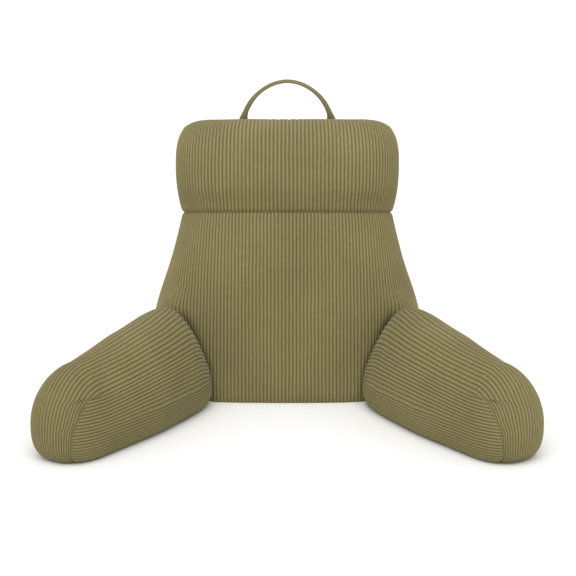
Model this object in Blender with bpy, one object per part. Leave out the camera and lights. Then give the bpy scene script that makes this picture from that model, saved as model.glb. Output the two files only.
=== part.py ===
"""A backrest pillow in wide-wale corduroy: a leaning back, a head bolster sewn above it, two arms and a carry handle.

Every cover is a grid of cloth. Its columns follow the wales, two columns to a wale, and its rows run across them.
"""

import bmesh
import bpy
import numpy as np

# Driving sizes in metres, with the front towards -Y and the floor at z = 0
LEAN = np.radians(16.0)  # how far the back leans from upright
SEAM_TILT = np.radians(11.0)  # how far the rows of the back have tilted by the seam
TILT_DONE = 0.16  # how far up the lean that tilt is complete
AXIS_Y = 0.1151  # where the leaning axis meets the floor
SEAM_UP = 0.306  # how far up the lean the head is sewn to the body
GAP = 0.0003  # between two pieces that touch

WALE = 0.0062  # pitch of the wales
RIB = 0.0014  # height of a wale over its furrow
EDGE_FADE = 0.004  # the wales flatten this near the end of a cloth

BACK_SQUARE = 3.0  # how square the hidden back is, where 2 is an ellipse
SIDE_SEAM = np.radians(112.0)  # where the front cloth ends, as an angle around from the front
BACK_COLUMNS = 24
SAMPLES = 400  # points along a curve that is to be measured
SHARP = np.radians(50.0)  # a fold sharper than this is not shaded smooth

# The back, a row for each height up the lean
BODY_COLUMNS = ("up", "half_width", "front", "back", "square")
BODY = (
    (0.000, 0.226, 0.108, 0.112, 3.00),
    (0.012, 0.238, 0.116, 0.122, 2.80),
    (0.060, 0.243, 0.124, 0.120, 2.50),
    (0.150, 0.229, 0.132, 0.105, 2.25),
    (0.230, 0.2035, 0.128, 0.088, 2.20),
    (0.285, 0.190, 0.116, 0.074, 2.20),
    (SEAM_UP, 0.184, 0.104, 0.062, 2.30),
)
BODY_ROWS = (0.0, 0.012, 0.060, 0.130, 0.200, 0.265, SEAM_UP)

# The head bolster, in the same columns
HEAD = (
    (SEAM_UP, 0.184, 0.105, 0.062, 2.30),
    (0.318, 0.1895, 0.117, 0.071, 2.25),
    (0.345, 0.1950, 0.128, 0.082, 2.20),
    (0.392, 0.1980, 0.130, 0.085, 2.20),
    (0.425, 0.1962, 0.122, 0.078, 2.20),
    (0.449, 0.1885, 0.102, 0.064, 2.30),
    (0.463, 0.1760, 0.070, 0.044, 2.50),
    (0.471, 0.1520, 0.026, 0.018, 2.60),
    (0.472, 0.1430, 0.012, 0.008, 2.60),
)
HEAD_ROWS = (SEAM_UP + GAP, 0.322, 0.360, 0.412, 0.447, 0.4645, 0.472)

# An arm. Its axis runs forward and outward from inside the body
ARM_TURN = np.radians(57.3)  # the axis from the X axis, seen from above
ARM_START = (-0.126, 0.1141)
ARM_COLUMNS = ("along", "middle", "half_width", "height", "widest", "top_square", "lean")
ARM = (
    (0.000, -0.0300, 0.0360, 0.1050, 0.040, 1.40, 0.0260),
    (0.050, -0.0200, 0.0480, 0.1340, 0.042, 1.40, 0.0260),
    (0.100, -0.0020, 0.0670, 0.1590, 0.044, 1.62, 0.0246),
    (0.150, 0.0072, 0.0745, 0.1668, 0.046, 2.12, 0.0130),
    (0.250, 0.0155, 0.0760, 0.1590, 0.048, 2.25, 0.0000),
    (0.330, 0.0205, 0.0700, 0.1485, 0.049, 2.15, 0.0000),
    (0.390, 0.0240, 0.0625, 0.1425, 0.050, 1.95, 0.0000),
)
ARM_ROWS = (0.0, 0.070, 0.115, 0.160, 0.220, 0.300, 0.390)
ARM_END = 0.390  # where the arm starts to round into its end
ARM_REACH = 0.085  # how far the end reaches past that
LOWER_SQUARE = 2.8  # how square the section is below its widest, where 2 is an ellipse
LEAN_POWER = 1.5  # the outward lean grows with this power of the height
PLAN_SQUARE = 2.4
SUNK = 0.012  # the round section is cut flat by the floor this far above its own lowest point
DART = 0.0465  # half the width of the strip of cloth that turns down over the end, between two darts
TURN_STEPS = 3  # rows of the side cloths around the end's corners
DROP_STEPS = 6  # rows of the strip down over the end
DROP_EASE = 0.8  # under 1 spreads those rows towards the dart's tip
FOOT_FADE = 0.3  # the strip's wales flatten over this share of its height above the floor

# The carry handle, a flat strap sewn in behind the crest
HANDLE_SPREAD = 0.0795  # half the distance between its feet
HANDLE_RISE = 0.0790
HANDLE_SQUARE = 1.88
HANDLE_FOOT = (0.2701, 0.4420)  # y and z of its feet's middle line
HANDLE_ROOT = 0.012  # how far each foot goes down to its seam
HANDLE_FLARE = 0.004  # how far it spreads on the way
HANDLE_LEAN = np.radians(-4.0)  # its top stands a little forward of its feet
STRAP_WIDTH = 0.021
STRAP_THICK = 0.0044
STRAP_EDGE = 0.0009  # how far its edges are rounded
STRAP_STEPS = 28
TWIST_COLUMNS = ("rise", "turn")
TWIST = (  # how far the strap has turned, in degrees, at a height above its feet's middle line
    (-0.020, 18.0),
    (0.000, 28.0),
    (0.007, 38.0),
    (0.0135, 56.0),
    (0.020, 69.0),
    (0.0416, 79.0),
    (0.060, 86.0),
    (0.079, 90.0),
)

COLOURS = {
    "back_body": (0.216, 0.184, 0.082),
    "head_bolster": (0.227, 0.195, 0.087),
    "left_arm": (0.209, 0.178, 0.079),
    "right_arm": (0.209, 0.178, 0.079),
    "carry_handle": (0.200, 0.168, 0.074),
}
ROUGHNESS = 0.92


def ease(x):
    """0 to 1 with a soft start and end."""
    x = np.clip(x, 0.0, 1.0)
    return x * x * (3.0 - 2.0 * x)


def read(table, names, column, at):
    """A smooth curve through one column of a table, read at some places of its first column."""
    places = np.array([row[0] for row in table])
    values = np.array([row[names.index(column)] for row in table])
    slope = np.diff(values) / np.diff(places)
    tangent = np.concatenate([slope[:1], (slope[1:] + slope[:-1]) / 2, slope[-1:]])
    tangent[1:-1][slope[1:] * slope[:-1] <= 0] = 0.0
    at = np.clip(at, places[0], places[-1])
    i = np.clip(np.searchsorted(places, at) - 1, 0, len(slope) - 1)
    step = places[i + 1] - places[i]
    s = (at - places[i]) / step
    start = (2 * s**3 - 3 * s**2 + 1) * values[i] + (s**3 - 2 * s**2 + s) * step * tangent[i]
    end = (3 * s**2 - 2 * s**3) * values[i + 1] + (s**3 - s**2) * step * tangent[i + 1]
    return start + end


def signed_power(x, power):
    return np.sign(x) * np.abs(x) ** power


def slab_point(table, up, around):
    """A point of the body or the head: how far up the lean, and the angle around from the front."""
    half, front, back, square = (read(table, BODY_COLUMNS, name, up) for name in BODY_COLUMNS[1:])
    before = np.cos(around) > 0
    power = 2.0 / np.where(before, square, BACK_SQUARE)
    x = half * signed_power(np.sin(around), power)
    depth = np.where(before, front, back) * -signed_power(np.cos(around), power)
    tilt = SEAM_TILT * ease(up / TILT_DONE)
    y = AXIS_Y + up * np.sin(LEAN) + depth * np.cos(tilt)
    z = up * np.cos(LEAN) - depth * np.sin(tilt)
    return np.stack([x, y, z], axis=-1)


def lengths(points):
    """The length along a line of points, at each point."""
    return np.concatenate([[0.0], np.cumsum(np.linalg.norm(np.diff(points, axis=0), axis=1))])


def along(points, at):
    """Points at given lengths along a line of points."""
    measured = lengths(points)
    return np.stack([np.interp(at, measured, points[:, k]) for k in range(3)], axis=-1)


class Cover:
    """A closed cover, made of rows of points. Each point has a share of the rib's height that it sinks by."""

    def __init__(self):
        self.mesh = bmesh.new()
        self.sink = self.mesh.verts.layers.float.new("sink")

    def row(self, points, sinks):
        """One row's vertices. A point that repeats the one before it is the same vertex."""
        row = []
        for point, sink in zip(points, sinks):
            if row and np.linalg.norm(np.array(row[-1].co) - point) < GAP / 3:
                row.append(row[-1])
                continue
            vertex = self.mesh.verts.new(point)
            vertex[self.sink] = sink
            row.append(vertex)
        return row

    def face(self, corners):
        """A face on the corners that differ, or none."""
        kept = [v for k, v in enumerate(corners) if v is not corners[k - 1]]
        if len(set(kept)) > 2:
            self.mesh.faces.new(kept)

    def strip(self, first, second, closed=False):
        """Faces between two rows of equal length."""
        count = len(first) if closed else len(first) - 1
        for k in range(count):
            n = (k + 1) % len(first)
            self.face([first[k], first[n], second[n], second[k]])

    def stitch(self, first, second):
        """Triangles between two rows of unequal length that start and end together."""
        i = j = 0
        while i < len(first) - 1 or j < len(second) - 1:
            ahead = (i + 1) / len(first) <= (j + 1) / len(second)
            if j == len(second) - 1 or (ahead and i < len(first) - 1):
                self.face([first[i], first[i + 1], second[j]])
                i += 1
            else:
                self.face([first[i], second[j + 1], second[j]])
                j += 1

    def cap(self, loop):
        """A flat end on a closed row."""
        self.face(loop)

    def finish(self, name, sunk=True):
        """The cover as an object, its furrows sunk along its normals."""
        bmesh.ops.recalc_face_normals(self.mesh, faces=self.mesh.faces)
        self.mesh.normal_update()
        if sunk:
            moves = [(v, v.normal * v[self.sink] * RIB) for v in self.mesh.verts]
            for vertex, move in moves:
                resting = vertex.co.z < GAP
                vertex.co -= move
                if resting:
                    vertex.co.z = 0.0
        data = bpy.data.meshes.new(name)
        self.mesh.to_mesh(data)
        self.mesh.free()
        data.shade_smooth()
        data.set_sharp_from_angle(angle=SHARP)
        thing = bpy.data.objects.new(name, data)
        return thing


def furrows(at, end):
    """How far each column sinks: every other one is a furrow, flattened near the end of the cloth."""
    odd = np.round(np.abs(at) / (WALE / 2)).astype(int) % 2
    return odd * np.clip((end - np.abs(at)) / EDGE_FADE, 0.0, 1.0)


def slab(name, table, rows, sunk=True):
    """The body or the head: a ribbed cloth on its front and sides, and a plainer one behind."""
    cover = Cover()
    front_angles = np.linspace(0.0, SIDE_SEAM, SAMPLES)
    widest = max(lengths(slab_point(table, up, front_angles))[-1] for up in rows)
    count = int(widest / (WALE / 2))
    columns = np.arange(-count, count + 1) * WALE / 2
    made = []
    for up in rows:
        side = slab_point(table, up, front_angles)
        end = lengths(side)[-1]
        front = along(side, np.minimum(np.abs(columns), end))
        front[:, 0] *= np.sign(columns)
        behind = slab_point(table, up, np.linspace(SIDE_SEAM, 2 * np.pi - SIDE_SEAM, SAMPLES))
        back = along(behind, np.linspace(0.0, lengths(behind)[-1], BACK_COLUMNS + 1))
        points = np.concatenate([front, back])
        sinks = np.concatenate([furrows(columns, end), np.zeros(len(back))])
        made.append(cover.row(points, sinks)[:-1])
    for lower, upper in zip(made[:-1], made[1:]):
        cover.strip(lower, upper, closed=True)
    cover.cap(made[0])
    cover.cap(made[-1])
    return cover.finish(name, sunk)


def arm_place(run, sideways, z):
    """A point from its distance along the arm's axis, its distance from it towards the seat, and its height."""
    x = ARM_START[0] - np.cos(ARM_TURN) * run + np.sin(ARM_TURN) * sideways
    y = ARM_START[1] - np.sin(ARM_TURN) * run - np.cos(ARM_TURN) * sideways
    return np.stack(np.broadcast_arrays(x, y, z), axis=-1)


def arm_sizes(run):
    """The arm's sizes at a place along it, in the order of its columns."""
    return [read(ARM, ARM_COLUMNS, name, run) for name in ARM_COLUMNS[1:]]


def arm_section(run, angle):
    """A point of the arm's section: angle 0 is its widest place towards the seat, and a quarter turn its top."""
    middle, half, height, widest, top_square, lean = arm_sizes(run)
    upper = np.sin(angle) > 0
    power = 2.0 / np.where(upper, top_square, LOWER_SQUARE)
    z = widest + np.where(upper, height - widest, widest + SUNK) * signed_power(np.sin(angle), power)
    sideways = middle + half * signed_power(np.cos(angle), power)
    return arm_place(run, sideways - lean * np.clip(z / height, 0.0, 1.0) ** LEAN_POWER, z)


def fullness(z):
    """How wide the rounded end is at a height, as a share of its widest."""
    _, _, height, widest, top_square, _ = arm_sizes(ARM_END)
    upper = z > widest
    share = np.abs(z - widest) / np.where(upper, height - widest, widest + SUNK)
    square = np.where(upper, top_square, LOWER_SQUARE)
    return np.clip(1.0 - share**square, 0.0, 1.0) ** (1.0 / square)


def end_point(sideways, z):
    """A point of the rounded end, from its distance off the arm's middle and its height."""
    middle, half = arm_sizes(ARM_END)[:2]
    past = np.clip(fullness(z) ** PLAN_SQUARE - np.abs(sideways / half) ** PLAN_SQUARE, 0.0, 1.0)
    return arm_place(ARM_END + ARM_REACH * past ** (1.0 / PLAN_SQUARE), middle + sideways, z)


def section_angles():
    """The angle of each column around the section, a half wale apart, and the first column of the end's strip."""
    _, half, _, widest, top_square, _ = arm_sizes(ARM_END)
    foot = np.arcsin((widest / (widest + SUNK)) ** (LOWER_SQUARE / 2))
    tip = np.arccos((DART / half) ** (top_square / 2))
    angles = []
    for start, stop in ((-foot, tip), (tip, np.pi - tip), (np.pi - tip, np.pi + foot)):
        fine = np.linspace(start, stop, SAMPLES)
        measured = lengths(arm_section(ARM_END, fine))
        count = 2 * int(round(measured[-1] / WALE))
        angles.append(np.interp(np.linspace(0.0, measured[-1], count + 1), measured, fine)[:-1])
    first = len(angles[0])
    return np.concatenate(angles + [[np.pi + foot]]), first


def arm(name):
    """The left arm: a sleeve of ribbed cloth whose top strip turns down over the end, between two darts."""
    cover = Cover()
    middle, half = arm_sizes(ARM_END)[:2]
    angles, first = section_angles()
    last = len(angles) - 1 - first
    columns = np.arange(len(angles))
    sinks = (columns % 2).astype(float)
    sinks[columns > last] = 0.0
    rows = [cover.row(arm_section(run, angles), sinks) for run in ARM_ROWS]
    for near, far in zip(rows[:-1], rows[1:]):
        cover.strip(near, far)
    sleeve = arm_section(ARM_END, angles)
    levels = sleeve[:, 2]
    darts = []
    for side, picked in ((1, range(first + 1)), (-1, range(last, len(angles)))):
        full = fullness(levels[list(picked)])
        start = np.zeros(len(full))
        stop = np.arccos(np.clip(DART / (half * full), 0.0, 1.0) ** (PLAN_SQUARE / 2))
        before = [rows[-1][k] for k in picked]
        for turned in np.linspace(0.0, 1.0, TURN_STEPS + 1)[1:]:
            turn = start + (stop - start) * turned
            sideways = side * half * full * np.cos(turn) ** (2 / PLAN_SQUARE)
            fade = sinks[list(picked)] * (1.0 - turned)
            points = end_point(sideways, levels[list(picked)])
            made = cover.row(points, fade)
            made[-1 if side > 0 else 0] = before[-1 if side > 0 else 0]
            cover.strip(before, made)
            before = made
        darts.append(before[::-1] if side > 0 else before)
    drops = np.linspace(1.0, 0.0, DROP_STEPS + 1)[1:] ** DROP_EASE
    offsets = (sleeve[first : last + 1] - arm_place(ARM_END, middle, 0.0)) @ np.append(
        np.array([np.sin(ARM_TURN), -np.cos(ARM_TURN)]), 0.0
    )
    lines = []
    for k in range(first + 1, last):
        top = levels[k]
        line = [rows[-1][k]]
        for drop in drops:
            point = end_point(offsets[k - first], top * drop)
            line += cover.row([point], [sinks[k] * ease(drop / FOOT_FADE)])
        lines.append(line)
    cover.stitch(darts[0], lines[0])
    for one, other in zip(lines[:-1], lines[1:]):
        cover.strip(one, other)
    cover.stitch(lines[-1], darts[1])
    return cover, rows, lines, darts


def close_arm(cover, rows, lines, darts):
    """Closes the arm's root with a flat face, and its sole."""
    cover.cap(rows[0])
    edges = [e for e in cover.mesh.edges if len(e.link_faces) == 1]
    bmesh.ops.contextual_create(cover.mesh, geom=edges)


def grown(thing, by):
    """A guide that stands a little proud of an object, to trim its neighbour with a gap."""
    data = thing.data.copy()
    copy = bpy.data.objects.new(f"{thing.name}_trim", data)
    for vertex, normal in zip(data.vertices, [v.normal.copy() for v in data.vertices]):
        vertex.co += normal * by
    copy.hide_render = True
    copy.display_type = "WIRE"
    return copy


def trim(thing, guide):
    """Cuts a guide's shape out of an object."""
    cut = thing.modifiers.new(f"clear_of_{guide.name}", "BOOLEAN")
    cut.operation = "DIFFERENCE"
    cut.object = guide
    cut.solver = "EXACT"


def mirrored(thing, name):
    """The same form on the other side of the middle."""
    data = thing.data.copy()
    data.name = name
    for vertex in data.vertices:
        vertex.co.x *= -1
    data.flip_normals()
    return bpy.data.objects.new(name, data)


def handle(name):
    """The strap: flat to the front at its feet, and turned a quarter to lie flat over the hand."""
    cover = Cover()
    turns = np.linspace(0.0, np.pi, STRAP_STEPS + 1)
    across = HANDLE_SPREAD * signed_power(np.cos(turns), 2 / HANDLE_SQUARE)
    rise = HANDLE_RISE * np.sin(turns) ** (2 / HANDLE_SQUARE)
    across = np.concatenate([[across[0] + HANDLE_FLARE], across, [across[-1] - HANDLE_FLARE]])
    rise = np.concatenate([[-HANDLE_ROOT], rise, [-HANDLE_ROOT]])
    path = np.stack([across, rise * np.sin(HANDLE_LEAN), rise * np.cos(HANDLE_LEAN)], axis=-1)
    path += np.array([0.0, *HANDLE_FOOT])
    heading = np.gradient(path, axis=0)
    heading /= np.linalg.norm(heading, axis=1)[:, None]
    backward = np.array([0.0, np.cos(HANDLE_LEAN), -np.sin(HANDLE_LEAN)])
    corners = []
    for side, face in ((1, 1), (-1, 1), (-1, -1), (1, -1)):
        wide = side * (STRAP_WIDTH / 2)
        thick = face * (STRAP_THICK / 2)
        ends = [(wide, thick - face * STRAP_EDGE), (wide - side * STRAP_EDGE, thick)]
        corners += ends if side * face > 0 else ends[::-1]
    made = []
    for point, ahead, height in zip(path, heading, rise):
        flat = np.cross(backward, ahead)
        twist = np.radians(read(TWIST, TWIST_COLUMNS, "turn", height))
        width = np.cos(twist) * flat + np.sin(twist) * backward
        depth = np.cross(ahead, width)
        made.append(cover.row([point + w * width + d * depth for w, d in corners], [0.0] * len(corners)))
    for one, other in zip(made[:-1], made[1:]):
        cover.strip(one, other, closed=True)
    cover.cap(made[0])
    cover.cap(made[-1])
    return cover.finish(name, sunk=False)


def cloth(name):
    """A matt olive cloth for one piece."""
    made = bpy.data.materials.new(f"{name}_corduroy")
    made.use_nodes = True
    shader = made.node_tree.nodes["Principled BSDF"]
    shader.inputs["Base Color"].default_value = (*COLOURS[name], 1.0)
    shader.inputs["Roughness"].default_value = ROUGHNESS
    shader.inputs["Metallic"].default_value = 0.0
    return made


def main():
    for thing in list(bpy.data.objects):
        bpy.data.objects.remove(thing, do_unlink=True)
    pieces = bpy.data.collections.new("backrest_pillow")
    guides = bpy.data.collections.new("guides")
    for group in (pieces, guides):
        bpy.context.scene.collection.children.link(group)

    body = slab("back_body", BODY, BODY_ROWS)
    head = slab("head_bolster", HEAD, HEAD_ROWS)
    cover, rows, lines, darts = arm("left_arm")
    close_arm(cover, rows, lines, darts)
    left = cover.finish("left_arm")
    right = mirrored(left, "right_arm")
    strap = handle("carry_handle")

    body_trim = grown(slab("smooth_body", BODY, BODY_ROWS, sunk=False), GAP)
    head_trim = grown(slab("smooth_head", HEAD, HEAD_ROWS, sunk=False), GAP)
    for guide in (body_trim, head_trim):
        guides.objects.link(guide)
    for thing in (left, right):
        trim(thing, body_trim)
    trim(strap, head_trim)
    for thing in (body, head, left, right, strap):
        pieces.objects.link(thing)
        thing.data.materials.append(cloth(thing.name))


main()
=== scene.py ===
# %% [markdown]
# # A backrest pillow in olive corduroy
# The pillow is five sewn pieces: a leaning back, a head bolster above it, two arms that reach forward,
# and a carry strap behind the crest. The CAD model gives their sizes, and the tables below follow it.
# This script makes the cloth that shows: covers with raised wales, drawn in at their seams.

import bmesh
import bpy
import numpy as np
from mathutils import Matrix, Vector, kdtree, noise


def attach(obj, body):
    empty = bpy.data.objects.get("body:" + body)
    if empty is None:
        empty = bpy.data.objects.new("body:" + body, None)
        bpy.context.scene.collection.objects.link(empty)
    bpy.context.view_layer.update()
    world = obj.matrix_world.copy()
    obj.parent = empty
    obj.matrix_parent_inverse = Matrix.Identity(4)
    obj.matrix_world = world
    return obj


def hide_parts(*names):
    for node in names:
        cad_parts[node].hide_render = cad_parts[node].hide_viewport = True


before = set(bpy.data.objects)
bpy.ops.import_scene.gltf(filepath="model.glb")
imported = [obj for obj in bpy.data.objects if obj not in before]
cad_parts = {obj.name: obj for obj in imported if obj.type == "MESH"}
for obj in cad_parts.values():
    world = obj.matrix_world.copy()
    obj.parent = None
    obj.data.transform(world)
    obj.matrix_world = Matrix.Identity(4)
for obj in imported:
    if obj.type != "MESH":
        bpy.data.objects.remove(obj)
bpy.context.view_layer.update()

# %% [markdown]
# ## The forms
# A stuffed cover is described best by its sections. The back and the head are stacked ovals, wider at
# the front than an ellipse. An arm is a loaf-shaped section that changes along its axis. Each table
# below has a row for each place, and a smooth curve runs through every column, so a size can be read
# anywhere.

# %% The tables of sizes, in metres
LEAN = np.radians(16.0)  # how far the back leans from upright
SEAM_TILT = np.radians(11.0)  # how far its rows have tilted by the head seam
TILT_DONE = 0.16
AXIS_Y = 0.1151  # where the leaning axis meets the floor
SEAM_UP = 0.306  # how far up the lean the head is sewn on
CREST_UP = 0.4724
BACK_SQUARE = 3.0
SIDE_SEAM = np.radians(112.0)  # where the front cloth ends, as an angle around from the front

SLAB_COLUMNS = ("up", "half_width", "front", "back", "square")
BODY = (
    (0.000, 0.226, 0.108, 0.112, 3.00),
    (0.012, 0.238, 0.116, 0.122, 2.80),
    (0.060, 0.243, 0.124, 0.120, 2.50),
    (0.150, 0.229, 0.132, 0.105, 2.40),
    (0.230, 0.2035, 0.129, 0.088, 2.45),
    (0.285, 0.190, 0.1185, 0.076, 2.40),
    (SEAM_UP, 0.1855, 0.1125, 0.070, 2.25),
)
HEAD = (
    (SEAM_UP, 0.1855, 0.1130, 0.070, 2.25),
    (0.320, 0.1900, 0.1195, 0.074, 2.25),
    (0.345, 0.1950, 0.128, 0.082, 2.50),
    (0.392, 0.1980, 0.130, 0.085, 2.60),
    (0.425, 0.1962, 0.122, 0.078, 2.60),
    (0.449, 0.1885, 0.102, 0.064, 2.55),
    (0.463, 0.1760, 0.070, 0.044, 2.50),
    (0.471, 0.1520, 0.026, 0.018, 2.60),
    (CREST_UP, 0.1400, 0.000, 0.000, 2.60),
)

ARM_TURN = np.radians(57.3)  # the arm's axis from the X axis, seen from above
ARM_START = (-0.126, 0.1141)
ARM_COLUMNS = ("along", "middle", "half_width", "height", "widest", "top_square", "lean")
ARM = (
    (0.000, -0.0300, 0.0360, 0.1050, 0.040, 1.40, 0.0260),
    (0.050, -0.0200, 0.0480, 0.1340, 0.042, 1.40, 0.0260),
    (0.100, -0.0020, 0.0670, 0.1590, 0.044, 1.62, 0.0246),
    (0.150, 0.0072, 0.0745, 0.1668, 0.046, 2.12, 0.0130),
    (0.250, 0.0155, 0.0760, 0.1595, 0.048, 2.25, 0.0000),
    (0.330, 0.0205, 0.0700, 0.1485, 0.049, 2.15, 0.0000),
    (0.390, 0.0240, 0.0625, 0.1425, 0.050, 1.95, 0.0000),
)
ARM_END = 0.390
ARM_REACH = 0.085
LOWER_SQUARE = 2.8
PLAN_SQUARE = 2.4
LEAN_POWER = 1.5
SUNK = 0.012
ROLL = 0.007  # the lowest cloth rolls under within this height, and lies flat
DART_COLUMNS = ("height", "away")
DART = (  # how far each dart is from the end's middle, from the floor up
    (-ROLL, 0.0285),
    (0.000, 0.0300),
    (0.0287, 0.0390),
    (0.0556, 0.0425),
    (0.0686, 0.0455),
    (0.0900, 0.0476),
    (0.0980, 0.0492),
    (0.1010, 0.0530),
)
print("Tables:", len(BODY), "rows of the back,", len(HEAD), "of the head,", len(ARM), "of an arm")


# %% Read a table, and find a point of a form
def ease(x):
    x = np.clip(x, 0.0, 1.0)
    return x * x * (3.0 - 2.0 * x)


def bell(distance, width):
    """1 at no distance, falling smoothly to nothing some widths away."""
    return np.exp(-((distance / width) ** 2))


def rolled_in(away, roll):
    """0 at a distance of roll or more from a seam, and 1 at the seam, along a quarter circle."""
    turn = np.clip(1.0 - away / roll, 0.0, 1.0)
    return 1.0 - np.sqrt(1.0 - turn**2)


def signed_power(x, power):
    return np.sign(x) * np.abs(x) ** power


def read(table, names, column, at):
    places = np.array([row[0] for row in table])
    values = np.array([row[names.index(column)] for row in table])
    slope = np.diff(values) / np.diff(places)
    tangent = np.concatenate([slope[:1], (slope[1:] + slope[:-1]) / 2, slope[-1:]])
    tangent[1:-1][slope[1:] * slope[:-1] <= 0] = 0.0
    at = np.clip(at, places[0], places[-1])
    i = np.clip(np.searchsorted(places, at) - 1, 0, len(slope) - 1)
    step = places[i + 1] - places[i]
    s = (at - places[i]) / step
    start = (2 * s**3 - 3 * s**2 + 1) * values[i] + (s**3 - 2 * s**2 + s) * step * tangent[i]
    end = (3 * s**2 - 2 * s**3) * values[i + 1] + (s**3 - s**2) * step * tangent[i + 1]
    return start + end


def slab_point(table, up, around, inset=0.0):
    half, front, back, square = (read(table, SLAB_COLUMNS, name, up) for name in SLAB_COLUMNS[1:])
    before = np.cos(around) > 0
    power = 2.0 / np.where(before, square, BACK_SQUARE)
    x = (half - inset) * signed_power(np.sin(around), power)
    depth = (np.where(before, front, back) - inset) * -signed_power(np.cos(around), power)
    tilt = SEAM_TILT * ease(up / TILT_DONE)
    y = AXIS_Y + up * np.sin(LEAN) + depth * np.cos(tilt)
    z = up * np.cos(LEAN) - depth * np.sin(tilt)
    return np.stack(np.broadcast_arrays(x, y, z), axis=-1)


def arm_sizes(run):
    return [read(ARM, ARM_COLUMNS, name, run) for name in ARM_COLUMNS[1:]]


def arm_place(run, sideways, z):
    x = ARM_START[0] - np.cos(ARM_TURN) * run + np.sin(ARM_TURN) * sideways
    y = ARM_START[1] - np.sin(ARM_TURN) * run - np.cos(ARM_TURN) * sideways
    return np.stack(np.broadcast_arrays(x, y, z), axis=-1)


def arm_section(run, angle, inset=0.0):
    middle, half, height, widest, top_square, lean = arm_sizes(run)
    half = half - inset
    height = height - inset
    upper = np.sin(angle) > 0
    power = 2.0 / np.where(upper, top_square, LOWER_SQUARE)
    z = widest + np.where(upper, height - widest, widest + SUNK) * signed_power(np.sin(angle), power)
    sideways = middle + half * signed_power(np.cos(angle), power)
    return arm_place(run, sideways - lean * np.clip(z / height, 0.0, 1.0) ** LEAN_POWER, z)


def lengths(points):
    return np.concatenate([[0.0], np.cumsum(np.linalg.norm(np.diff(points, axis=0), axis=1))])


def roll_under(points):
    """Cloth that would go through the floor rolls under and lies flat on it."""
    z = points[..., 2]
    rolled = np.where(z < -ROLL, 0.0, np.where(z > ROLL, z, (z + ROLL) ** 2 / (4 * ROLL)))
    points = points.copy()
    points[..., 2] = rolled
    return points


print("The head's widest half:", round(float(read(HEAD, SLAB_COLUMNS, "half_width", 0.392)), 4), "m")

# %% [markdown]
# ## Corduroy as geometry
# Corduroy is a cloth with rows of cut pile, called wales. On this pillow they are about 6 mm apart and
# more than a millimetre high, so they show along every outline, and a bump map could not do that. Each
# cloth is therefore a grid whose columns follow its wales, six columns to a wale. The grids are sewn
# into one closed mesh, and then every point moves out along its normal by the height of the pile there,
# and in by the depth of a seam.

# %% The wales and the sewing of a cover
WALE = 0.0062
HEAD_WALE = 0.0067
PER_WALE = 6
RIB = 0.0017
WANDER = 0.0005  # how far a wale strays sideways
WANDER_SCALE = 26.0  # waves of that straying to a metre, about
SAME = 0.00002  # points closer than this are one
LABELS = ("rib", "lift", "sink", "dark")  # the values that each point of a cover keeps


def soft_noise(x, y, seed, scale):
    """Smooth noise between about -1 and 1 at each pair of coordinates."""
    x, y = np.broadcast_arrays(x, y)
    flat = [noise.noise(Vector((a * scale, b * scale, seed))) for a, b in zip(x.ravel(), y.ravel())]
    return np.array(flat).reshape(x.shape)


def pile(wale):
    """The height of the pile at a place across the cloth, counted in wales, from 0 to 1."""
    return np.abs(np.cos(np.pi * wale))


class Cloth:
    """One cut piece of cloth: a grid of points, with its wales across the columns.

    lift is the share of the pile's height that stands there, sink how far the cloth is drawn in, and
    dark how deep in a seam it lies without being moved for it; sink and dark together set painted seam
    shade.
    """

    def __init__(self, points, wale, along, lift=1.0, sink=0.0, dark=0.0):
        shape = points.shape[:2]
        self.points = points
        self.wale = np.broadcast_to(wale, shape)
        self.along = np.broadcast_to(along, shape)
        self.lift = np.broadcast_to(lift, shape) * np.ones(shape)
        self.sink = np.broadcast_to(sink, shape) * np.ones(shape)
        self.dark = np.broadcast_to(dark, shape) * np.ones(shape)


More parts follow.
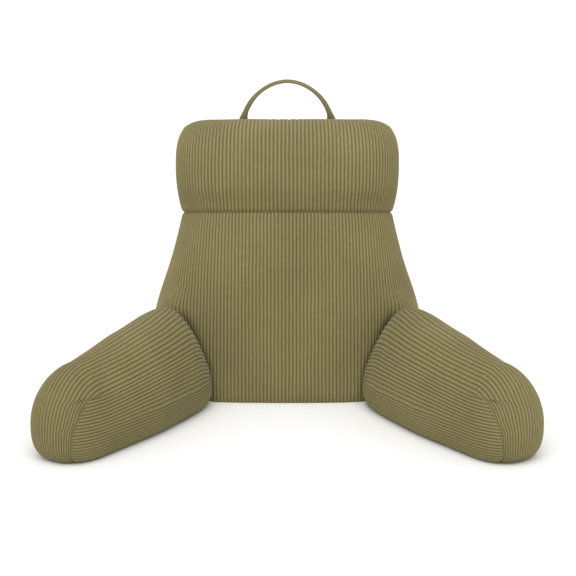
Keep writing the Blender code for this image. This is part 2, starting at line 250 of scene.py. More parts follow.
def sewn(name, cloths, finish=None):
    """One closed cover from several cloths. finish may change lift and sink once the points are known."""
    points, faces, uvs, floats = [], [], [], []
    start = 0
    for cloth in cloths:
        rows, columns = cloth.points.shape[:2]
        index = start + np.arange(rows * columns).reshape(rows, columns)
        quads = np.stack([index[:-1, :-1], index[:-1, 1:], index[1:, 1:], index[1:, :-1]], axis=-1)
        faces.append(quads.reshape(-1, 4))
        points.append(cloth.points.reshape(-1, 3))
        uvs.append(np.stack([cloth.wale, cloth.along], axis=-1).reshape(-1, 2))
        columns_of_floats = (pile(cloth.wale), cloth.lift, cloth.sink, cloth.dark)
        floats.append(np.stack(columns_of_floats, axis=-1).reshape(-1, len(LABELS)))
        start += rows * columns
    points, faces, uvs, floats = (np.concatenate(part) for part in (points, faces, uvs, floats))
    data = bpy.data.meshes.new(name)
    data.from_pydata(points.tolist(), [], faces.tolist())
    layer = data.uv_layers.new(name="cloth")
    layer.data.foreach_set("uv", uvs[faces.ravel()].astype(np.float32).ravel())
    for k, label in enumerate(LABELS):
        layer = data.attributes.new(label, "FLOAT", "POINT")
        layer.data.foreach_set("value", floats[:, k].astype(np.float32))
    mesh = bmesh.new()
    mesh.from_mesh(data)
    bmesh.ops.remove_doubles(mesh, verts=mesh.verts, dist=SAME)
    bmesh.ops.dissolve_degenerate(mesh, edges=mesh.edges, dist=SAME / 4)
    loose = [v for v in mesh.verts if not v.link_faces]
    bmesh.ops.delete(mesh, geom=loose, context="VERTS")
    rims = [e for e in mesh.edges if len(e.link_faces) == 1]
    caps = bmesh.ops.holes_fill(mesh, edges=rims, sides=0)["faces"]
    bmesh.ops.recalc_face_normals(mesh, faces=mesh.faces)
    mesh.verts.index_update()
    rim = {}
    for vertex in (v for cap in caps for v in cap.verts):
        rim[vertex.index] = sum((f.normal for f in vertex.link_faces if f not in caps), Vector())
    mesh.to_mesh(data)
    open_edges = sum(1 for e in mesh.edges if len(e.link_faces) != 2)
    mesh.free()
    raise_pile(data, rim, finish)
    data.shade_smooth()
    thing = bpy.data.objects.new(name, data)
    bpy.context.scene.collection.objects.link(thing)
    print(name, len(data.vertices), "points,", len(data.polygons), "faces,", open_edges, "open edges")
    return thing


def column(data, label):
    values = np.zeros(len(data.vertices), dtype=np.float32)
    data.attributes[label].data.foreach_get("value", values)
    return values


def raise_pile(data, rim, finish=None):
    """Moves every point out by its pile and in by its seam.

    rim holds the cloth's own normals around a flat cap, where the cap would turn the mesh's normals.
    """
    count = len(data.vertices)
    places = np.zeros(count * 3, dtype=np.float32)
    normals = np.zeros(count * 3, dtype=np.float32)
    data.vertices.foreach_get("co", places)
    data.vertex_normals.foreach_get("vector", normals)
    places, normals = places.reshape(-1, 3), normals.reshape(-1, 3)
    for k, normal in rim.items():
        normals[k] = normal.normalized()
    rib, lift, sink = (column(data, label) for label in ("rib", "lift", "sink"))
    if finish is not None:
        lift, sink = finish(places, normals, lift, sink)
    flat = places[:, 2] < SAME
    moved = places + normals * (RIB * (rib * lift - 0.5) - sink)[:, None]
    moved[:, 2] = np.where(flat, 0.0, np.maximum(moved[:, 2], 0.0))
    data.vertices.foreach_set("co", moved.astype(np.float32).ravel())
    data.attributes["lift"].data.foreach_set("value", lift.astype(np.float32))
    # sink with dark added sets the painted shade in seams, creases and darts
    data.attributes["sink"].data.foreach_set("value", (sink + column(data, "dark")).astype(np.float32))
    data.update()


print("A wale is", WALE * 1000, "mm wide and", RIB * 1000, "mm high")

# %% [markdown]
# ## The arm-root seam
# The arms are closed tubes of cloth sewn to the sides of the back. Where the round sleeve meets the
# back there is a deep crease on the seat side that fades towards the top. To find that line, each wale
# of the sleeve is followed inward until it goes through the surface of the back.


# %% Where the sleeve meets the back
SHOULDER = 0.024  # how far the sleeve rounds over into the seam
SHOULDER_DEPTH = 0.011
SHOULDER_FLARE = 0.004  # the top of the arm flares up into the back instead
SEAT_SIDE_TO = 1.30  # angles around the sleeve, in radians, from its seat side over its top
SEAT_SIDE_FADE = 0.75
TOP_FROM, TOP_FADE_IN = 0.95, 0.55
TOP_TO, TOP_FADE_OUT = 3.3, 0.8
TUCK = 0.010  # cloth inside the seam
SIDE_WALE = 0.0050  # the pitch of the wales around the arm's end, below the darts and between them
STRIP_WALE = 0.0067
SETTLED = 25  # rounds in which the height up the lean settles
DEEPEST_RUN = 0.2  # the root is looked for this far along the arm


def depth_in_back(points):
    """Under 0 inside the back, 0 on its surface."""
    x, y, z = points[..., 0], points[..., 1], points[..., 2]
    up = z / np.cos(LEAN)
    for _ in range(SETTLED):
        tilt = SEAM_TILT * ease(up / TILT_DONE)
        depth = (y - AXIS_Y - up * np.sin(LEAN)) / np.cos(tilt)
        up = (z + depth * np.sin(tilt)) / np.cos(LEAN)
    half, front, back, square = (read(BODY, SLAB_COLUMNS, name, up) for name in SLAB_COLUMNS[1:])
    ahead = (np.abs(x) / half) ** square + (np.abs(depth) / front) ** square
    behind = (np.abs(x) / half) ** BACK_SQUARE + (np.abs(depth) / back) ** BACK_SQUARE
    return np.where(depth < 0, ahead, behind) - 1.0


def shoulder_depth(angle):
    """How far the sleeve is drawn in at its seam, under 0 where it flares out."""
    seat_side = ease((SEAT_SIDE_TO - angle) / SEAT_SIDE_FADE)
    top = ease((angle - TOP_FROM) / TOP_FADE_IN) * ease((TOP_TO - angle) / TOP_FADE_OUT)
    return SHOULDER_DEPTH * seat_side - SHOULDER_FLARE * top


def root_runs(angles):
    """How far along the arm each wale leaves the back."""
    runs = np.linspace(0.0, DEEPEST_RUN, 401)
    points = arm_section(runs[:, None], angles[None, :], shoulder_depth(angles)[None, :])
    inside = depth_in_back(points) < 0
    last = len(runs) - 1 - np.argmax(inside[::-1], axis=0)
    return runs[last]


END_MIDDLE, END_HALF, END_HEIGHT, END_WIDEST, END_SQUARE, _ = arm_sizes(ARM_END)


def fullness(z):
    """How wide the rounded end is at a height, as a share of its widest."""
    upper = z > END_WIDEST
    share = np.abs(z - END_WIDEST) / np.where(upper, END_HEIGHT - END_WIDEST, END_WIDEST + SUNK)
    square = np.where(upper, END_SQUARE, LOWER_SQUARE)
    return np.clip(1.0 - share**square, 0.0, 1.0) ** (1.0 / square)


foot = np.arcsin(((END_WIDEST + ROLL) / (END_WIDEST + SUNK)) ** (LOWER_SQUARE / 2))
end_levels = np.linspace(END_WIDEST, END_HEIGHT, 2001)
dart_free = read(DART, DART_COLUMNS, "away", end_levels) < END_HALF * fullness(end_levels)
TIP_HEIGHT = end_levels[np.argmin(dart_free)]
tip = np.arcsin(((TIP_HEIGHT - END_WIDEST) / (END_HEIGHT - END_WIDEST)) ** (END_SQUARE / 2))
TIP_AWAY = END_HALF * fullness(TIP_HEIGHT)
print("The darts' tips are", round(float(TIP_HEIGHT), 3), "m up")


def sleeve_angles():
    """The angle of each column around the sleeve, and how many columns lie below a dart's tip."""
    angles = []
    for start, stop, pitch in (
        (-foot, tip, SIDE_WALE),
        (tip, np.pi - tip, STRIP_WALE),
        (np.pi - tip, np.pi + foot, SIDE_WALE),
    ):
        fine = np.linspace(start, stop, 600)
        measured = lengths(arm_section(ARM_END, fine))
        count = PER_WALE * int(round(measured[-1] / pitch))
        angles.append(np.interp(np.linspace(0.0, measured[-1], count + 1), measured, fine)[:-1])
    return np.concatenate(angles + [[np.pi + foot]]), len(angles[0])


ANGLES, SIDE_COLUMNS = sleeve_angles()
ROOT = root_runs(ANGLES)
kernel = np.hanning(2 * PER_WALE + 1)
padded_root = np.pad(ROOT, PER_WALE, mode="edge")
ROOT = np.convolve(padded_root, kernel / kernel.sum(), mode="valid")
root_line = roll_under(arm_section(ROOT, ANGLES, shoulder_depth(ANGLES)))
print("Sleeve:", len(ANGLES), "columns; seam", ROOT.min().round(3), "to", ROOT.max().round(3), "m along")


def nearness(line, both_sides=False):
    """A function that gives each point's distance from a line of points."""
    spots = [tuple(p) for p in line]
    if both_sides:
        spots += [(-p[0], p[1], p[2]) for p in spots]
    tree = kdtree.KDTree(len(spots))
    for k, spot in enumerate(spots):
        tree.insert(spot, k)
    tree.balance()
    return lambda places: np.array([tree.find(p)[2] for p in places])


# %% [markdown]
# ## The back and the head bolster
# Both are cut from a front cloth that wraps round to a side seam, and a back cloth. The wales stay
# upright in the middle and lean towards the sides, as barrel staves do, because the cloth narrows where
# a cover is drawn in at its seams and at the crest.

# %% Sew the back and the head
SEAM_ROLL = 0.0045  # how near the head seam the covers roll in
SEAM_DEEP = 0.0042
SEAM_LAP = 0.0009  # the covers overlap this far inside the seam, where the stitching holds them
SEAM_FLAT = 0.004  # the pile is pressed down this near the seam
SEAM_PRESSED = 0.55  # and loses this share of its height there
SIDE_DEEP = 0.0016
SIDE_WIDE = 0.0035
SIDE_FLAT = 0.003
SIDE_PRESSED = 0.6
STUFFING = 0.0011  # how uneven the filling is
STUFFING_SCALE = 11.0
STUFFING_CLEAR = 0.03  # the filling is even this near the seam
STAVE_POWER, STAVE_SLOPE, LEAST_SLOPE = 2.2, 0.9, 0.05
SIDE_HELD = 0.01  # wales don't stray this near the side seam


def staves(length, reference, columns):
    """Where each column lies along a row: even in the middle, and closer or wider towards the side."""
    share = np.abs(columns) / reference
    slope = reference / length
    power = min(STAVE_POWER, STAVE_SLOPE / max(slope - 1.0, LEAST_SLOPE))
    return np.sign(columns) * length * (slope * share - (slope - 1.0) * share ** (1.0 + power))


def half_panel(table, ups, insets, start, stop, pitch, seed):
    """One panel of the back or head: start is the angle of its middle and stop that of its side seam."""
    fine = np.linspace(start, stop, 500)
    sides = [slab_point(table, up, fine, inset) for up, inset in zip(ups, insets)]
    measured = [lengths(side) for side in sides]
    reference = max(m[-1] for m in measured)
    count = PER_WALE * int(reference / pitch)
    columns = np.arange(-count, count + 1) * (reference / count)
    stray = WANDER * soft_noise(columns[None, :], ups[:, None], seed, WANDER_SCALE)
    stray *= np.clip((reference - np.abs(columns)) / SIDE_HELD, 0.0, 1.0)
    rows = []
    for side, lined, shift in zip(sides, measured, stray):
        at = staves(lined[-1], reference, columns + shift)
        row = np.stack([np.interp(np.abs(at), lined, side[:, k]) for k in range(3)], axis=-1)
        row[:, 0] *= np.where(columns < 0, -1.0, 1.0)
        rows.append(row)
    wale = (columns / reference) * (count / PER_WALE)
    return np.array(rows), wale, reference - np.abs(columns)


def slab(name, table, ups, pitch, seed, finish=None):
    """The back or the head: a front and a back panel, drawn in at the head seam and along the side seams."""
    cloths = []
    to_seam = np.abs(ups - SEAM_UP)
    seam = SEAM_DEEP * rolled_in(to_seam, SEAM_ROLL)
    for start, stop in ((0.0, SIDE_SEAM), (np.pi, SIDE_SEAM)):
        points, wale, to_side = half_panel(table, ups, seam, start, stop, pitch, seed + start)
        uneven = STUFFING * soft_noise(points[..., 0], points[..., 2], seed + start + 3.0, STUFFING_SCALE)
        uneven = uneven * np.clip(to_seam[:, None] / STUFFING_CLEAR, 0.0, 1.0)
        lift = 1.0 - SEAM_PRESSED * bell(to_seam[:, None], SEAM_FLAT)
        lift = np.clip(lift - SIDE_PRESSED * bell(to_side[None, :], SIDE_FLAT), 0.0, 1.0)
        sink = SIDE_DEEP * bell(to_side[None, :], SIDE_WIDE) + uneven
        cloths.append(Cloth(points, wale[None, :], ups[:, None], lift, sink, seam[:, None]))
    return sewn(name, cloths, finish)


def spread(*stops):
    """Places from the first stop to the last, with a given spacing up to each."""
    places = [stops[0]]
    for spacing, stop in zip(stops[1::2], stops[2::2]):
        count = max(1, int(round((stop - places[-1]) / spacing)))
        places += list(np.linspace(places[-1], stop, count + 1)[1:])
    return np.array(places)


CREASE_TO = 1.1  # angles around the sleeve, in radians
FLARE_FROM, FLARE_TO = 1.45, 2.6
root_distance = nearness(root_line[ANGLES < CREASE_TO], both_sides=True)
flare_distance = nearness(root_line[(ANGLES > FLARE_FROM) & (ANGLES < FLARE_TO)], both_sides=True)
CREASE_DEEP = 0.006
CREASE_WIDE = 0.010
CREASE_FLAT = 0.004
CREASE_PRESSED = 0.5
FLARE = 0.012  # the back swells out to meet the top of each arm
FLARE_WIDE = 0.025


def crease(places, normals, lift, sink):
    """The back is drawn in along the seams of the arms, and swells out above them."""
    away = root_distance(places)
    deep = CREASE_DEEP * bell(away, CREASE_WIDE)
    flare = FLARE * bell(flare_distance(places), FLARE_WIDE)
    return lift * (1.0 - CREASE_PRESSED * bell(away, CREASE_FLAT)), sink + deep - flare


BACK_SEED, HEAD_SEED = 2.0, 7.0
NEAR_SEAM = 0.012  # the rows lie close together within this of the seam
body_rows = spread(0.0, 0.002, 0.014, 0.0042, SEAM_UP - NEAR_SEAM, 0.0009, SEAM_UP)
head_rows = spread(SEAM_UP, 0.0009, SEAM_UP + NEAR_SEAM, 0.004, 0.440, 0.0024, 0.469, 0.0008, CREST_UP)
body_rows[-1] += SEAM_LAP
head_rows[0] -= SEAM_LAP
back_cushion = slab("back_cushion", BODY, body_rows, WALE, BACK_SEED, crease)
head_cushion = slab("head_cushion", HEAD, head_rows, HEAD_WALE, HEAD_SEED)

# %% [markdown]
# ## The arms
# An arm is a sleeve whose cloth has one dart on each side of its end. Between the darts the top cloth
# turns down over the end, so its wales run down to the floor there, while the side cloths turn round
# the corner and meet it with level wales. At the root the sleeve rounds over into the seam, with a
# small ridge where the seam allowance lies under it and puckers where the wales are gathered.

# %% Sew an arm
RIDGE = 0.0016  # the seam allowance under the cloth
RIDGE_AT = 0.0075
RIDGE_WIDE = 0.0028
PUCKER = 0.0018
PUCKER_REACH = 0.012
PUCKER_SCALE, FINE_PUCKER_SCALE = 80.0, 190.0
ROOT_FLAT = 0.004  # the pile is pressed down this near the seam
ROOT_PRESSED = 0.3
ROOT_CLEAR = 0.04  # the filling is even this near the seam
DART_DEEP = 0.0022
DART_WIDE = 0.0028
DART_FLAT = 0.0022
DART_PRESSED = 0.6
DART_FADE = 0.012  # a dart reaches its depth this far below its tip
TURN_ROWS = 25
LINE_SAMPLES = 800
LINE_LENGTH = 0.16  # about how long a line down the end is, for the grain of the cloth
BY_THE_DART = 0.7  # lines further out than this share of the tips' distance keep in step with the dart
MEAN_RADIUS = 0.06  # turns an angle around the sleeve into a length along the cloth
FILLING_RADIUS = 0.08  # the same, for the unevenness of the filling
END_HELD = 0.03  # wales don't stray this near the rounded end


def end_point(sideways, z):
    """A point of the rounded end, from its distance off the arm's middle and its height."""
    full = fullness(z)
    sideways = np.sign(sideways) * np.minimum(np.abs(sideways), END_HALF * full)
    past = np.clip(full**PLAN_SQUARE - np.abs(sideways / END_HALF) ** PLAN_SQUARE, 0.0, 1.0)
    return arm_place(ARM_END + ARM_REACH * past ** (1.0 / PLAN_SQUARE), END_MIDDLE + sideways, z)


def drawn_in(z):
    """How close together the darts are at a height, against their tips."""
    return np.where(z < TIP_HEIGHT, read(DART, DART_COLUMNS, "away", z) / TIP_AWAY, 1.0)


def sleeve():
    """The sleeve from its seam to the start of the rounded end."""
    ways = spread(-TUCK, 0.0016, 0.030, 0.0040, 0.30)
    ways = (ways + TUCK) / (ways[-1] + TUCK)
    reach = ARM_END - ROOT + TUCK
    runs = ROOT[None, :] - TUCK + ways[:, None] * reach[None, :]
    away = runs - ROOT[None, :]
    inset = shoulder_depth(ANGLES)[None, :] * rolled_in(away, SHOULDER)
    stray = WANDER / MEAN_RADIUS * soft_noise(ANGLES[None, :] * MEAN_RADIUS, runs, 21.0, WANDER_SCALE)
    stray = stray * np.clip((ARM_END - runs) / END_HELD, 0.0, 1.0)
    points = arm_section(runs, ANGLES[None, :] + stray, inset)
    # 1 on the seat side, fading over the top and away behind
    seat_side = np.clip(np.cos(ANGLES) * 2.0 + 0.6, 0.0, 1.0) * np.clip(1.25 - np.sin(ANGLES), 0.0, 1.0)
    around = lengths(root_line)
    fine_gather = soft_noise(around, 0.0, 9.0, FINE_PUCKER_SCALE)
    gather = soft_noise(around, 0.0, 5.0, PUCKER_SCALE) + 0.5 * fine_gather
    pucker = PUCKER * (gather * seat_side)[None, :] * np.exp(-np.clip(away, 0.0, 1.0) / PUCKER_REACH)
    ridge = RIDGE * seat_side[None, :] * bell(away - RIDGE_AT, RIDGE_WIDE)
    uneven = STUFFING * soft_noise(runs, ANGLES[None, :] * FILLING_RADIUS, 13.0, STUFFING_SCALE)
    uneven = uneven * ease(away / ROOT_CLEAR)
    lift = 1.0 - ROOT_PRESSED * bell(away, ROOT_FLAT)
    wale = np.arange(len(ANGLES)) / PER_WALE
    return Cloth(points, wale[None, :], runs, lift, pucker - ridge + uneven)


def side_turn(side):
    """A side cloth, from the start of the end round the corner to its dart."""
    picked = np.arange(SIDE_COLUMNS + 1)
    if side < 0:
        picked = picked + len(ANGLES) - 1 - SIDE_COLUMNS
    start = arm_section(ARM_END, ANGLES[picked])
    heights = start[:, 2]
    widest = END_HALF * fullness(heights)
    dart = TIP_AWAY * drawn_in(heights)
    stop = np.arccos(np.clip(dart / widest, 0.0, 1.0) ** (PLAN_SQUARE / 2))
    turns = np.linspace(0.0, 1.0, TURN_ROWS)[:, None] * stop[None, :]
    sideways = side * widest[None, :] * np.cos(turns) ** (2 / PLAN_SQUARE)
    points = end_point(sideways, np.broadcast_to(heights, turns.shape))
    points[0] = start
    return Cloth(points, picked[None, :] / PER_WALE, ARM_END + turns * ARM_REACH)


def end_strip():
    """The strip between the darts: a line of points down the end from each column at the top."""
    last = len(ANGLES) - 1 - SIDE_COLUMNS
    picked = np.arange(SIDE_COLUMNS, last + 1)
    top = arm_section(ARM_END, ANGLES[picked])
    towards_seat = np.array([np.sin(ARM_TURN), -np.cos(ARM_TURN), 0.0])
    offsets = (top - arm_place(ARM_END, END_MIDDLE, 0.0)) @ towards_seat
    dart_levels = arm_section(ARM_END, ANGLES[: SIDE_COLUMNS + 1])[::-1, 2]
    shares = np.linspace(0.0, 1.0, SIDE_COLUMNS + 1)

    def even(offset, height):
        """Heights down a line, an equal step along the cloth apart."""
        fine = -ROLL + (height + ROLL) * (1.0 - ease(np.linspace(0.0, 1.0, LINE_SAMPLES)))
        measured = lengths(end_point(offset * drawn_in(fine), fine))
        return np.interp(shares * measured[-1], measured, fine)

    fitted = dart_levels - even(offsets[0], top[0, 2])
    lines = []
    for offset, start in zip(offsets, top):
        near_dart = ease((np.abs(offset) / TIP_AWAY - BY_THE_DART) / (1.0 - BY_THE_DART))
        heights = even(offset, start[2]) + fitted * near_dart
        line = end_point(offset * drawn_in(heights), heights)
        line[0] = start
        lines.append(line)
    points = np.array(lines).transpose(1, 0, 2)
    return Cloth(points, picked[None, :] / PER_WALE, ARM_END + LINE_LENGTH * shares[:, None])


def arm_cover(name, side):
    """An arm's cover. side is -1 for the left arm and 1 for its mirror image."""
    strip = end_strip()
    cloths = [sleeve(), side_turn(1), side_turn(-1), strip]
    for cloth in cloths:
        cloth.points = roll_under(cloth.points)
        if side > 0:
            cloth.points[..., 0] *= -1.0
    dart_distance = nearness(np.concatenate([strip.points[:, 0], strip.points[:, -1]]))

    def finish(places, normals, lift, sink):
        away = dart_distance(places)
        below_tip = ease((TIP_HEIGHT - places[:, 2]) / DART_FADE)
        lift = lift * (1.0 - DART_PRESSED * bell(away, DART_FLAT))
        return lift, sink + DART_DEEP * below_tip * bell(away, DART_WIDE)

    return sewn(name, cloths, finish)


left_sleeve = arm_cover("left_sleeve", -1)
right_sleeve = arm_cover("right_sleeve", 1)

# %% [markdown]
# ## The carry strap
# The strap is a band of the same cloth, folded so that three wales run along it. It starts nearly flat
# to the front behind the crest and turns a quarter on each side, so that it lies flat across the hand.
# One outline is carried along an arch and turned as it goes.

# %% Make the strap
HANDLE_SPREAD = 0.0795  # half the distance between its feet
HANDLE_RISE = 0.0790
HANDLE_SQUARE = 1.88  # how square the arch is, where 2 is an ellipse
HANDLE_FOOT = (0.2701, 0.4420)  # y and z of its feet's middle line
HANDLE_ROOT = 0.020  # how far each foot goes down to its seam
HANDLE_FLARE = 0.004  # how far it spreads on the way
HANDLE_LEAN = np.radians(-4.0)  # its top stands a little forward of its feet
STRAP_WIDTH = 0.021
STRAP_THICK = 0.0044
STRAP_WALES = 3
TWIST_COLUMNS = ("rise", "turn")
TWIST = (  # how far the strap has turned, in degrees, at a height above its feet's middle line
    (-0.020, 18.0),
    (0.000, 28.0),
    (0.007, 38.0),
    (0.0135, 56.0),
    (0.020, 69.0),
    (0.0416, 79.0),
    (0.060, 86.0),
    (0.079, 90.0),
)
STRAP_RIB = 0.0006
STRAP_EDGE = 14  # how square its edges are
STRAP_COLUMNS = 8  # points to a wale


def strap_section():
    """The band's outline, as pairs of width and thickness, with the pile's height at each."""
    across = np.linspace(-1.0, 1.0, STRAP_COLUMNS * STRAP_WALES + 1)
    rib = pile(across * STRAP_WALES / 2 + 0.5)
    edge = (1.0 - np.abs(across) ** STRAP_EDGE) ** 0.5
    half_thick = edge * (STRAP_THICK / 2 - STRAP_RIB + STRAP_RIB * rib)
    upper = np.stack([across * STRAP_WIDTH / 2, half_thick], axis=-1)
    lower = upper[::-1][1:-1] * np.array([1.0, -1.0])
    return np.concatenate([upper, lower]), np.concatenate([rib, rib[::-1][1:-1]])


turns = np.linspace(0.0, np.pi, 121)
across = HANDLE_SPREAD * signed_power(np.cos(turns), 2 / HANDLE_SQUARE)
rise = HANDLE_RISE * np.sin(turns) ** (2 / HANDLE_SQUARE)
across = np.concatenate([[across[0] + HANDLE_FLARE], across, [across[-1] - HANDLE_FLARE]])
rise = np.concatenate([[-HANDLE_ROOT], rise, [-HANDLE_ROOT]])
path = np.stack([across, rise * np.sin(HANDLE_LEAN), rise * np.cos(HANDLE_LEAN)], axis=-1)
path += np.array([0.0, *HANDLE_FOOT])
heading = np.gradient(path, axis=0)
heading /= np.linalg.norm(heading, axis=1)[:, None]
backward = np.array([0.0, np.cos(HANDLE_LEAN), -np.sin(HANDLE_LEAN)])
outline, outline_rib = strap_section()
rings = []
for point, ahead, height in zip(path, heading, rise):
    flat = np.cross(backward, ahead)
    twist = np.radians(read(TWIST, TWIST_COLUMNS, "turn", height))
    width = np.cos(twist) * flat + np.sin(twist) * backward
    thick = np.cross(ahead, width)
    rings.append(point + outline[:, :1] * width + outline[:, 1:] * thick)
rings = np.array(rings)
count = rings.shape[1]
faces = [
    (r * count + k, r * count + (k + 1) % count, (r + 1) * count + (k + 1) % count, (r + 1) * count + k)
    for r in range(len(rings) - 1)
    for k in range(count)
]
faces += [tuple(range(count))[::-1], tuple(range((len(rings) - 1) * count, len(rings) * count))]
data = bpy.data.meshes.new("carry_strap")
data.from_pydata(rings.reshape(-1, 3).tolist(), [], faces)
ways = np.repeat(lengths(path), count)
strap_uv = np.stack([np.tile(outline[:, 0] / WALE, len(rings)), ways], axis=-1)
corners = np.concatenate([np.array(face) for face in faces])
data.uv_layers.new(name="cloth").data.foreach_set("uv", strap_uv[corners].astype(np.float32).ravel())
strap_values = {
    "rib": np.tile(outline_rib, len(rings)),
    "lift": np.ones(len(ways)),
    "sink": np.zeros(len(ways)),
}
for label, values in strap_values.items():
    layer = data.attributes.new(label, "FLOAT", "POINT")
    layer.data.foreach_set("value", values.astype(np.float32))
mesh = bmesh.new()
mesh.from_mesh(data)
bmesh.ops.recalc_face_normals(mesh, faces=mesh.faces)
mesh.to_mesh(data)
mesh.free()
data.shade_smooth()
carry_strap = bpy.data.objects.new("carry_strap", data)
bpy.context.scene.collection.objects.link(carry_strap)

# %% [markdown]
# ## The cloth's finish and its painted shade
# Corduroy has no gloss: its pile scatters light, and catches a little of it along edges, which the
# sheen of the shader gives. The furrows are painted darker, as shade for the light lost between the
# wales, and seams and creases are painted darker by how deep the cloth is drawn in. The nap lies in
# slightly different directions, which shows as soft, broad patches. Fine streaks along the wales and a
# grain across them stand for the tufts.

# %% Make the corduroy
OLIVE = (0.236, 0.202, 0.087)
# Painted shade: the furrows' colour is darkened to stand for light lost between the wales.
FURROW_PAINTED_SHADE = 0.40  # the furrow's brightness, against the wale's
NAP_PATCH = 0.10
NAP_SCALE = 7.0  # patches to a metre, about
TUFT = 0.16
TUFT_SCALE = (9.0, 1100.0, 1.0)  # spots to a wale across it, and to a metre along it
STREAK_SCALE = (5.0, 90.0, 1.0)
SPECK_SCALE = 420.0
# Painted shade: seams, creases and darts darken with the depth the cloth is drawn in there.
SEAM_SHADE = 0.72  # the cloth's brightness deep in a seam
SEAM_SHADE_AT = 0.006  # the depth at which it is that dark


class Nodes:
    """A short way to add nodes to a material and join them."""

    def __init__(self, material):
        material.use_nodes = True
        self.tree = material.node_tree
        self.shader = self.tree.nodes["Principled BSDF"]

    def add(self, kind, **inputs):
        node = self.tree.nodes.new(kind)
        for name, value in inputs.items():
            self.set(node, name.replace("_", " "), value)
        return node

    def set(self, node, name, value):
        if isinstance(value, bpy.types.NodeSocket):
            self.tree.links.new(value, node.inputs[name])
        else:
            node.inputs[name].default_value = value

    def maths(self, operation, first, second):
        node = self.tree.nodes.new("ShaderNodeMath")
        node.operation = operation
        self.set(node, 0, first)
        self.set(node, 1, second)
        return node.outputs[0]

    def ranged(self, value, low, high, new_low, new_high):
        node = self.tree.nodes.new("ShaderNodeMapRange")
        for k, part in enumerate((value, low, high, new_low, new_high)):
            self.set(node, k, part)
        return node.outputs[0]

    def noise(self, vector, scale, detail=2.0, roughness=0.5):
        node = self.add("ShaderNodeTexNoise", Scale=scale, Detail=detail, Roughness=roughness)
        self.tree.links.new(vector, node.inputs["Vector"])
        return node.outputs["Fac"]

    def stretched(self, vector, scale):
        node = self.add("ShaderNodeMapping")
        node.inputs["Scale"].default_value = scale
        self.tree.links.new(vector, node.inputs["Vector"])
        return node.outputs["Vector"]


def corduroy(name, tint):
    material = bpy.data.materials.new(name)
    n = Nodes(material)
    place = n.add("ShaderNodeTexCoord").outputs["Object"]
    cloth = n.add("ShaderNodeUVMap")
    cloth.uv_map = "cloth"
    rib = n.add("ShaderNodeAttribute")
    rib.attribute_name = "rib"
    sink = n.add("ShaderNodeAttribute")
    sink.attribute_name = "sink"
    streak = n.noise(n.stretched(cloth.outputs["UV"], STREAK_SCALE), 1.0, 3.0, 0.6)
    tuft = n.noise(n.stretched(cloth.outputs["UV"], TUFT_SCALE), 1.0, 2.0, 0.6)
    nap = n.noise(place, NAP_SCALE, 3.0, 0.55)
    speck = n.noise(place, SPECK_SCALE, 2.0, 0.7)
    # painted shade in the furrows, by the pile's height across each wale
    shade = n.ranged(rib.outputs["Fac"], 0.0, 0.85, FURROW_PAINTED_SHADE, 1.0)
    shade = n.maths("MULTIPLY", shade, n.ranged(nap, 0.3, 0.7, 1.0 - NAP_PATCH, 1.0 + NAP_PATCH))
    shade = n.maths("MULTIPLY", shade, n.ranged(streak, 0.25, 0.75, 1.0 - TUFT, 1.0 + TUFT))
    shade = n.maths("MULTIPLY", shade, n.ranged(tuft, 0.25, 0.75, 1.0 - TUFT, 1.0 + TUFT))
    # painted shade in seams, creases and darts, darker the deeper the cloth lies
    painted_seam_shade = n.ranged(sink.outputs["Fac"], 0.0, SEAM_SHADE_AT, 1.0, SEAM_SHADE)
    shade = n.maths("MULTIPLY", shade, painted_seam_shade)
    colour = n.add("ShaderNodeVectorMath")
    colour.operation = "SCALE"
    colour.inputs[0].default_value = tint
    n.tree.links.new(shade, colour.inputs["Scale"])
    n.tree.links.new(colour.outputs[0], n.shader.inputs["Base Color"])
    height = n.maths("ADD", n.maths("MULTIPLY", tuft, 0.6), n.maths("MULTIPLY", speck, 0.4))
    bump = n.add("ShaderNodeBump", Strength=0.55, Distance=0.0005)
    n.tree.links.new(height, bump.inputs["Height"])
    n.tree.links.new(bump.outputs["Normal"], n.shader.inputs["Normal"])
    n.set(n.shader, "Roughness", n.ranged(speck, 0.3, 0.7, 0.86, 0.98))
    n.shader.inputs["Specular IOR Level"].default_value = 0.18
    n.shader.inputs["Sheen Weight"].default_value = 0.22
    n.shader.inputs["Sheen Roughness"].default_value = 0.45
    n.shader.inputs["Sheen Tint"].default_value = (0.75, 0.72, 0.50, 1.0)
    return material


def dress(thing, material, node):
    thing.data.materials.clear()
    thing.data.materials.append(material)
    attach(thing, "root")
    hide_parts(node)


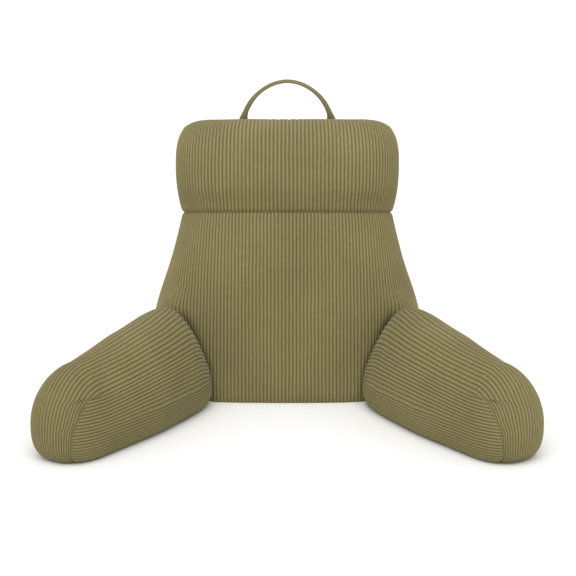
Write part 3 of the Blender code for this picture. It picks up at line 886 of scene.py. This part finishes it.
back_cord = corduroy("olive_corduroy_back", OLIVE)
head_cord = corduroy("olive_corduroy_head", tuple(v * 1.03 for v in OLIVE))
arm_cord = corduroy("olive_corduroy_arms", tuple(v * 0.98 for v in OLIVE))
strap_cord = corduroy("olive_corduroy_strap", tuple(v * 0.92 for v in OLIVE))
dress(back_cushion, back_cord, "back_body")
dress(head_cushion, head_cord, "head_bolster")
dress(left_sleeve, arm_cord, "left_arm")
dress(right_sleeve, arm_cord, "right_arm")
dress(carry_strap, strap_cord, "carry_handle")
print("Five pieces dressed")

# %% [markdown]
# ## The studio
# A pale floor under a white sky, with one very wide light from above and in front, gives the even light
# of a product photograph. The camera stands 2.4 m in front of the pillow, a little above it, and looks
# slightly down through a long lens.

# %% Floor, lights and camera
bpy.ops.mesh.primitive_plane_add(size=80.0, location=(0.0, 20.0, -0.0003))
floor = bpy.context.object
floor.name = "pale_floor"
paint = bpy.data.materials.new("pale_floor_paint")
paint.use_nodes = True
paint.node_tree.nodes["Principled BSDF"].inputs["Base Color"].default_value = (0.95, 0.948, 0.94, 1.0)
paint.node_tree.nodes["Principled BSDF"].inputs["Roughness"].default_value = 0.9
paint.node_tree.nodes["Principled BSDF"].inputs["Specular IOR Level"].default_value = 0.1
floor.data.materials.append(paint)

WORLD = 0.76
SUN = 1.75
SUN_WIDTH = 55.0  # how wide the light is, in degrees, which softens its shadows
world = bpy.data.worlds.new("white_studio")
world.use_nodes = True
world.node_tree.nodes["Background"].inputs["Color"].default_value = (1.0, 1.0, 1.0, 1.0)
world.node_tree.nodes["Background"].inputs["Strength"].default_value = WORLD
bpy.context.scene.world = world

sun = bpy.data.lights.new("soft_key", "SUN")
sun.energy = SUN
sun.angle = np.radians(SUN_WIDTH)
lamp = bpy.data.objects.new("soft_key", sun)
lamp.rotation_euler = Vector((0.06, 0.66, -1.0)).to_track_quat("-Z", "Y").to_euler()
bpy.context.scene.collection.objects.link(lamp)
bpy.context.scene.view_settings.view_transform = "Standard"

CAMERA_PLACE = (0.0012, -2.3795, 0.7725)
CAMERA_DOWN = 13.46
lens = bpy.data.cameras.new("camera")
lens.lens = 91.7
lens.sensor_width = 36.0
camera = bpy.data.objects.new("camera", lens)
camera.location = CAMERA_PLACE
camera.rotation_euler = (np.radians(90.0 - CAMERA_DOWN), 0.0, 0.0)
bpy.context.scene.collection.objects.link(camera)
bpy.context.scene.camera = camera
print("Camera", CAMERA_PLACE, "looking", CAMERA_DOWN, "degrees down")
